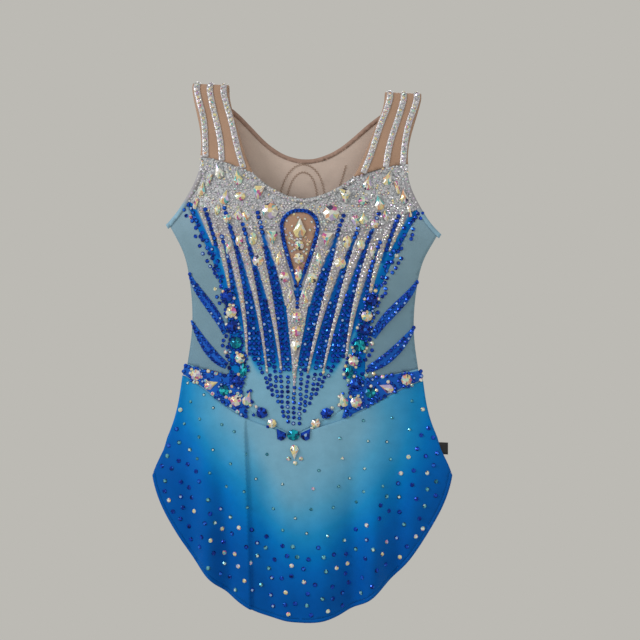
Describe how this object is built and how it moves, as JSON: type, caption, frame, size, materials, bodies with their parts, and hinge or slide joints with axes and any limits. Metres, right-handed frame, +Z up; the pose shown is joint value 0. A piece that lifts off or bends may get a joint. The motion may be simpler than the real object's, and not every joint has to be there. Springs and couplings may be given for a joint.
{
  "type": "gymnastics leotard",
  "caption": "Sleeveless competition leotard with an attached skirt, sewn from stretch panels and set with glass stones, hanging flat by its shoulder straps.",
  "frame": {"origin": "hanger seat: midway between the shoulder straps, at the underside of their folds", "axes": "+Z up along the length, -Y out of the front, +X towards the wearer's left"},
  "size_m": [0.3514, 0.0496, 0.6199],
  "materials": {
    "silver_cloth": "metallic foil lycra under crystals",
    "nude_mesh": "sheer stretch mesh, skin tone",
    "blue_mesh": "sheer stretch mesh, pale blue over skin tone",
    "binding": "folded stretch binding",
    "elastic": "lycra over elastic",
    "cotton_lining": "plain cotton jersey",
    "label_satin": "black satin ribbon",
    "hem": "narrow overlocked edge",
    "skirt_lycra": "dyed stretch lycra, light at the top to deep blue at the sides",
    "body_lycra": "dyed stretch lycra, slight sheen",
    "blue_lycra": "deep blue stretch lycra",
    "sapphire_glass": "faceted, foiled back",
    "teal_glass": "faceted, foiled back",
    "clear_glass": "faceted, rainbow-coated, foiled back"
  },
  "bodies": {
    "torso": {"armhole_binding_left": "binding", "armhole_binding_right": "binding", "back_lower": "body_lycra", "back_upper": "nude_mesh", "brief_back": "body_lycra", "brief_front": "body_lycra", "care_label": "label_satin", "fan_centre": "silver_cloth", "fan_stripes_left": "silver_cloth", "fan_stripes_right": "silver_cloth", "front_bodice": "body_lycra", "front_yoke": "silver_cloth", "gusset": "cotton_lining", "gusset_lining": "cotton_lining", "hip_belt_left": "blue_lycra", "hip_belt_right": "blue_lycra", "keyhole_inset": "nude_mesh", "keyhole_rim": "blue_lycra", "leg_elastic_left": "elastic", "leg_elastic_right": "elastic", "neck_binding_back": "nude_mesh", "neck_binding_front": "binding", "side_mesh_back_left": "blue_mesh", "side_mesh_back_right": "blue_mesh", "side_mesh_front_left": "blue_mesh", "side_mesh_front_right": "blue_mesh", "side_stripe_lower_left": "blue_lycra", "side_stripe_lower_right": "blue_lycra", "side_stripe_upper_left": "blue_lycra", "side_stripe_upper_right": "blue_lycra", "skirt_seam_back": "skirt_lycra", "skirt_seam_front": "skirt_lycra", "stones_baguettes": "clear_glass", "stones_chain": "sapphire_glass", "stones_chain_low": "sapphire_glass", "stones_drops": "clear_glass", "stones_fancies": "clear_glass", "stones_keyhole": "clear_glass", "stones_kites": "clear_glass", "stones_navettes": "clear_glass", "stones_ovals": "clear_glass", "stones_rounds": "clear_glass", "stones_sapphires": "sapphire_glass", "stones_teals": "teal_glass", "strap_left": "nude_mesh", "strap_right": "nude_mesh", "strap_tape_left_inner": "silver_cloth", "strap_tape_left_middle": "silver_cloth", "strap_tape_left_outer": "silver_cloth", "strap_tape_right_inner": "silver_cloth", "strap_tape_right_middle": "silver_cloth", "strap_tape_right_outer": "silver_cloth"},
    "skirt_front_panel": {"skirt_front": "skirt_lycra", "hem_front": "hem", "pendant_stones": "clear_glass"},
    "skirt_back_panel": {"skirt_back": "skirt_lycra", "hem_back": "hem"}
  },
  "joints": [
    {"name": "front_skirt_swing", "type": "hinge", "parent": "torso", "child": "skirt_front_panel", "pos_m": [0, -0.022, -0.4117], "axis": [-1, 0, 0], "range_deg": [0, 60]},
    {"name": "back_skirt_swing", "type": "hinge", "parent": "torso", "child": "skirt_back_panel", "pos_m": [0, 0.022, -0.4117], "axis": [1, 0, 0], "range_deg": [0, 60]}
  ]
}
